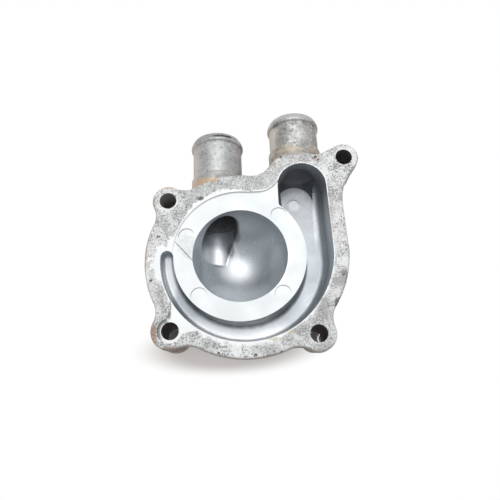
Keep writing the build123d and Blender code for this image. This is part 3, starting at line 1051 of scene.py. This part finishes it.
# %% Chalk, a painted highlight, and painted shade at the edges
# Painted shade along the right edge of the inlet's mouth and at the trough's end.
mouth_edge_shade = [
    ((-1.2, 13.0, -15.5), (2.2, 4.5, 5.0), 0.75, (0.20, 0.21, 0.22)),
    ((-4.0, 7.0, -17.5), (2.0, 4.2, 5.0), 0.80, (0.22, 0.23, 0.24)),
    ((-10.8, 0.2, -18.5), (5.2, 1.2, 4.0), 0.75, (0.26, 0.27, 0.28)),
]
floor_chalk = stained(tree, place, (-4.0, -31.5, -9.0), (38.0, 13.0, 14.0), 0.3)
start_chalk = stained(tree, place, (-28.3, -8.0, -7.6), (4.6, 13.0, 5.0), 0.2)
chalky = calc(tree, "MAXIMUM", floor_chalk, start_chalk)
# Painted highlight: a whiter, duller and less metallic patch on the floor of the inlet's trough.
painted_trough_highlight = stained(tree, place, (-10.9, 4.8, -18.0), (6.8, 5.4, 7.0), 0.4)
chalk_and_painted_highlight = calc(tree, "MAXIMUM", chalky, painted_trough_highlight)
color = blend(tree, chalk_and_painted_highlight, color, (0.96, 0.985, 1.0))
color = tinted(tree, place, color, mouth_edge_shade, 0.25)
_, y, _ = axes_of(tree, place)
# Painted shade at the foot of the ring's outer wall and on the floor beside it, in the lower half.
radius = calc3(tree, "LENGTH", calc3(tree, "MULTIPLY", place, (1.0, 1.0, 0.0)))
ragged = calc(tree, "MULTIPLY_ADD", noise(tree, place, 0.25, 3.0), 1.6, minus(tree, radius, 0.8))
beyond_ring = calc(tree, "GREATER_THAN", radius, 24.5)
painted_foot_shade = times(tree, smooth(tree, ragged, 27.5, 25.3), beyond_ring)
painted_foot_shade = times(tree, painted_foot_shade, smooth(tree, y, 2.0, -14.0))
color = wash(tree, color, painted_foot_shade, 0.88, (0.09, 0.095, 0.10))
chalky = times(tree, chalky, minus(tree, 1.0, painted_foot_shade))
print("dark stains at the mouth's edge", len(mouth_edge_shade))

# %% Scale and scratches, and the material of the wetted walls
speckled = [
    ((-14.0, -6.0, -9.0), (7.0, 12.0, 9.0), 1.0),
    ((2.0, -13.5, -9.0), (15.0, 6.5, 9.0), 1.0),
    ((14.5, 5.0, -9.0), (6.0, 10.0, 9.0), 1.0),
    ((4.0, 6.0, -16.0), (9.0, 8.0, 8.0), 0.5),
]
share = strongest(tree, place, speckled, 0.5, least=0.10)
larger = calc3(tree, "SCALE", place, scale=0.60)
scale = use(tree, corrosion, Place=larger, Patch=0.2, Lift=0.0, Pitting=0.60)
color = wash(tree, color, scale["Pits"], share, (0.92, 0.94, 0.95))
hairlines = use(tree, scratches, Place=place, Turn=-0.65, Amount=0.9)["Mask"]
color = wash(tree, color, hairlines, 0.3, (0.86, 0.88, 0.89))
metallic = number(tree, chalky, number(tree, painted_trough_highlight, 0.75, 0.58), 0.58)
roughness = number(tree, chalk_and_painted_highlight, number(tree, cloud, 0.39, 0.46), 0.37)
wetted_skin = finished(color, metallic, roughness, grain["Height"])
print("wetted material", len(tree.nodes), "nodes")

# %% [markdown]
# ## The bores and bolt holes
# The bores are dull and dark with old coolant film. The one behind the port gets more light, which is
# painted into its colour as a paler film. The bolt holes are darker still with painted shade, apart from
# the upper left one.

# %% Materials of the bores and bolt holes
tree, place, finished = metal("bore_film", 0.05)
grain = use(tree, cast_grain, Place=place, Fineness=1.0)
color = blend(tree, grain["Tone"], (0.16, 0.165, 0.17), (0.30, 0.305, 0.31))
x, _, _ = axes_of(tree, place)
# Painted light: the bore behind the port is paler.
color = wash(tree, color, smooth(tree, x, 6.0, 12.0), 0.8, (0.50, 0.52, 0.55))
bore_skin = finished(color, metallic=0.6, roughness=0.6, height=grain["Height"])
tree, place, finished = metal("bolt_hole", 0.05)
grain = use(tree, cast_grain, Place=place, Fineness=1.0)
# Painted shade: the bolt holes are darker than the casting.
color = blend(tree, grain["Tone"], (0.14, 0.14, 0.145), (0.26, 0.26, 0.265))
paler = stained(tree, place, (*bolts[0], -3.0), (9.0, 9.0, 9.0), 0.4)
color = wash(tree, color, paler, 0.8, (0.60, 0.61, 0.58))
hole_skin = finished(color, metallic=0.5, roughness=0.55, height=grain["Height"])
print("bore materials", bore_skin.name, hole_skin.name)

# %% [markdown]
# ## The hose spigots
# The spigots keep the matte grey of the casting. The inlet is fairly even, with fine dark grain, and the
# outlet is mottled white where coolant dried under its hose. At both roots rust water left orange stains. The
# inlet's left side is paler with painted light, and the two slots in its bead are dark with painted shade.

# %% Start of a spigot's material
def spigot_material(name, low, high, chalk_color, lift, zoom, tints):
    """A dull cast skin with chalky mottling and placed tints."""
    tree, place, finished = metal(name, 0.07)
    grain = use(tree, cast_grain, Place=place, Fineness=1.6)
    larger = calc3(tree, "SCALE", place, scale=zoom)
    oxide = use(tree, corrosion, Place=larger, Patch=0.26, Lift=lift, Pitting=0.40)
    color = blend(tree, oxide["Light"], low, high)
    color = wash(tree, color, oxide["Chalk"], 0.85, chalk_color)
    color = wash(tree, color, oxide["Pits"], 0.5, (0.13, 0.125, 0.12))
    color = tinted(tree, place, color, tints, 1.3)
    height = calc(tree, "MULTIPLY_ADD", grain["Height"], 0.6, times(tree, oxide["Height"], 0.6))
    return finished(color, metallic=0.55, roughness=0.46, height=height)


print("spigot material ready")

# %% Inlet spigot
inlet_tints = [
    ((-13.0, 31.8, -4.0), (7.0, 3.0, 8.0), 0.72, (1.0, 0.72, 0.48)),
    ((-17.4, 32.8, -8.0), (3.0, 3.8, 8.0), 0.70, (0.86, 0.52, 0.28)),
    ((-9.0, 35.8, -3.0), (6.5, 0.8, 8.0), 0.40, (0.66, 0.56, 0.46)),
    ((-3.0, 34.0, -4.0), (7.0, 1.3, 8.0), 0.35, (0.46, 0.36, 0.28)),
    ((1.0, 36.2, -9.0), (4.0, 1.2, 8.0), 0.50, (0.22, 0.20, 0.19)),
    # Painted light: the inlet's left side is paler.
    ((-18.5, 40.0, -11.0), (6.0, 15.0, 10.0), 0.85, (0.90, 0.87, 0.84)),
    ((-3.0, 49.0, -4.0), (0.6, 0.6, 3.0), 0.80, (0.88, 0.88, 0.87)),
    # Painted shade in the two slots on the bead.
    ((-7.3, 52.7, -3.5), (3.6, 0.85, 3.0), 0.90, (0.08, 0.075, 0.07)),
    ((-3.1, 52.7, -4.5), (2.2, 0.85, 3.0), 0.95, (0.05, 0.05, 0.05)),
]
inlet_skin = spigot_material(
    "inlet_skin", (0.42, 0.42, 0.415), (0.62, 0.62, 0.61), (0.76, 0.76, 0.75),
    lift=0.05, zoom=0.70, tints=inlet_tints,
)
print("material", inlet_skin.name)

# %% Outlet spigot
outlet_tints = [
    ((17.8, 46.6, -8.0), (3.5, 2.2, 6.0), 0.60, (0.62, 0.40, 0.22)),
    ((17.0, 42.5, -9.0), (4.0, 2.6, 6.0), 0.45, (0.50, 0.37, 0.26)),
    ((23.0, 44.6, -3.5), (7.5, 0.8, 6.0), 0.60, (0.90, 0.68, 0.46)),
    ((22.0, 46.8, -3.5), (6.0, 0.7, 6.0), 0.50, (0.88, 0.72, 0.52)),
    ((31.0, 45.0, -7.0), (4.0, 2.0, 6.0), 0.55, (0.85, 0.62, 0.42)),
    ((28.0, 53.0, -4.0), (5.0, 6.0, 5.0), 0.35, (0.86, 0.85, 0.82)),
    ((14.6, 52.0, -11.0), (6.0, 13.0, 9.0), 0.90, (0.93, 0.92, 0.87)),
    ((24.7, 61.0, -5.0), (13.0, 2.8, 9.0), 0.75, (0.84, 0.84, 0.83)),
    ((22.0, 44.0, -4.0), (9.0, 3.0, 8.0), 0.45, (0.82, 0.70, 0.56)),
    ((18.5, 51.5, -6.0), (3.0, 5.0, 6.0), 0.40, (0.36, 0.35, 0.33)),
    ((17.6, 58.0, -8.0), (2.4, 1.4, 5.0), 0.70, (0.24, 0.235, 0.225)),
    ((30.6, 58.0, -6.0), (0.9, 0.6, 3.0), 0.90, (0.92, 0.92, 0.91)),
    ((31.9, 57.2, -7.0), (0.8, 0.5, 3.0), 0.90, (0.92, 0.92, 0.91)),
]
outlet_skin = spigot_material(
    "outlet_skin", (0.31, 0.305, 0.295), (0.52, 0.515, 0.495), (0.86, 0.85, 0.83),
    lift=0.035, zoom=0.62, tints=outlet_tints,
)
print("material", outlet_skin.name)

# %% [markdown]
# ## The back
# The back and the sides keep the sandy skin of the casting, duller and a little darker, with dirt in patches
# and brown rust, most of it at the lower left lug. Under the two front lugs the brown is partly painted
# shade.

# %% Material of the back
tree, place, finished = metal("cast_back", 0.12)
grain = use(tree, cast_grain, Place=place, Fineness=1.2)
oxide = use(tree, corrosion, Place=place, Patch=0.09, Lift=0.0, Pitting=0.45)
side_rust_and_shade = [
    ((-32.0, -31.0, -4.0), (7.0, 8.0, 9.0), 0.85, (0.27, 0.15, 0.09)),
    # Rust with painted shade under the lower left lug, and in the row for the lower right lug.
    ((-25.0, -37.0, -8.0), (9.0, 6.0, 9.0), 0.70, (0.30, 0.21, 0.16)),
    ((-34.0, 22.0, -3.0), (4.0, 8.0, 8.0), 0.50, (0.42, 0.25, 0.14)),
    ((-36.0, 4.0, -3.0), (3.0, 12.0, 6.0), 0.35, (0.45, 0.30, 0.18)),
    ((24.0, -33.0, -5.0), (12.0, 6.0, 8.0), 0.35, (0.38, 0.25, 0.16)),
    ((-14.5, 31.5, -5.0), (7.5, 4.0, 8.0), 0.60, (0.55, 0.31, 0.14)),
    ((18.0, 40.0, -5.0), (6.0, 4.0, 8.0), 0.50, (0.52, 0.33, 0.19)),
]
color = blend(tree, oxide["Light"], (0.30, 0.30, 0.295), (0.52, 0.52, 0.51))
color = wash(tree, color, oxide["Chalk"], 0.8, (0.68, 0.68, 0.67))
color = wash(tree, color, oxide["Pits"], 0.7, (0.12, 0.115, 0.11))
color = tinted(tree, place, color, side_rust_and_shade, 1.5)
height = calc(tree, "MULTIPLY_ADD", grain["Height"], 0.6, oxide["Height"])
back_skin = finished(color, metallic=0.4, roughness=0.64, height=height)
print("back material", len(tree.nodes), "nodes")

# %% Put each finish on its faces
skins = [back_skin, rim_skin, ring_skin, wetted_skin, bore_skin, hole_skin, inlet_skin, outlet_skin]
for skin in skins:
    casting.data.materials.append(skin)
casting.data.polygons.foreach_set("material_index", finish_index)
casting.data.update()
print("materials on the casting", [m.name for m in casting.data.materials])

# %% [markdown]
# ## A shred in a bolt hole
# In the lower right bolt hole the photograph shows a thin bowed sliver of white. It is taken for a shred of
# dried sealant that clings to the hole's edge and hangs down. A bevelled Bezier curve through three points
# gives it, and turned to a mesh it is a closed thin tube that is thinner at its ends.

# %% Shape of the shred
shred_radius = 0.42
shred_points = [(27.3, -34.2, -0.6), (27.1, -32.8, -1.7), (28.0, -31.0, -3.3)]
shred_thickness = [0.8, 1.0, 0.6]
bpy.ops.object.select_all(action="DESELECT")
bpy.ops.curve.primitive_bezier_curve_add(location=(0.0, 0.0, 0.0))
shred = bpy.context.object
shred.name = "sealant_shred"
spline = shred.data.splines[0]
spline.bezier_points.add(1)
for point, center, thickness in zip(spline.bezier_points, shred_points, shred_thickness):
    point.co = Vector(center) * MM
    point.radius = thickness
    point.handle_left_type = "AUTO"
    point.handle_right_type = "AUTO"
shred.data.bevel_depth = shred_radius * MM
shred.data.bevel_resolution = 3
shred.data.use_fill_caps = True
only(shred)
bpy.ops.object.convert(target="MESH")
settle(shred)
edit_all(shred)
bpy.ops.mesh.remove_doubles(threshold=sliver_size)
bpy.ops.mesh.normals_make_consistent(inside=False)
bpy.ops.object.mode_set(mode="OBJECT")
bpy.ops.object.shade_smooth_by_angle(angle=radians(40.0))
print("shred", len(shred.data.vertices), "vertices,", len(shred.data.polygons), "faces")

# %% Material of the shred
tree, place, finished = metal("dried_sealant", 0.03)
grain = use(tree, cast_grain, Place=place, Fineness=1.4)
color = blend(tree, grain["Tone"], (0.86, 0.86, 0.84), (0.97, 0.97, 0.95))
shred.data.materials.clear()
shred_skin = finished(color, metallic=0.0, roughness=0.45, height=grain["Height"])
shred.data.materials.append(shred_skin)
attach(shred, "root")
print("material on the shred", shred_skin.name)
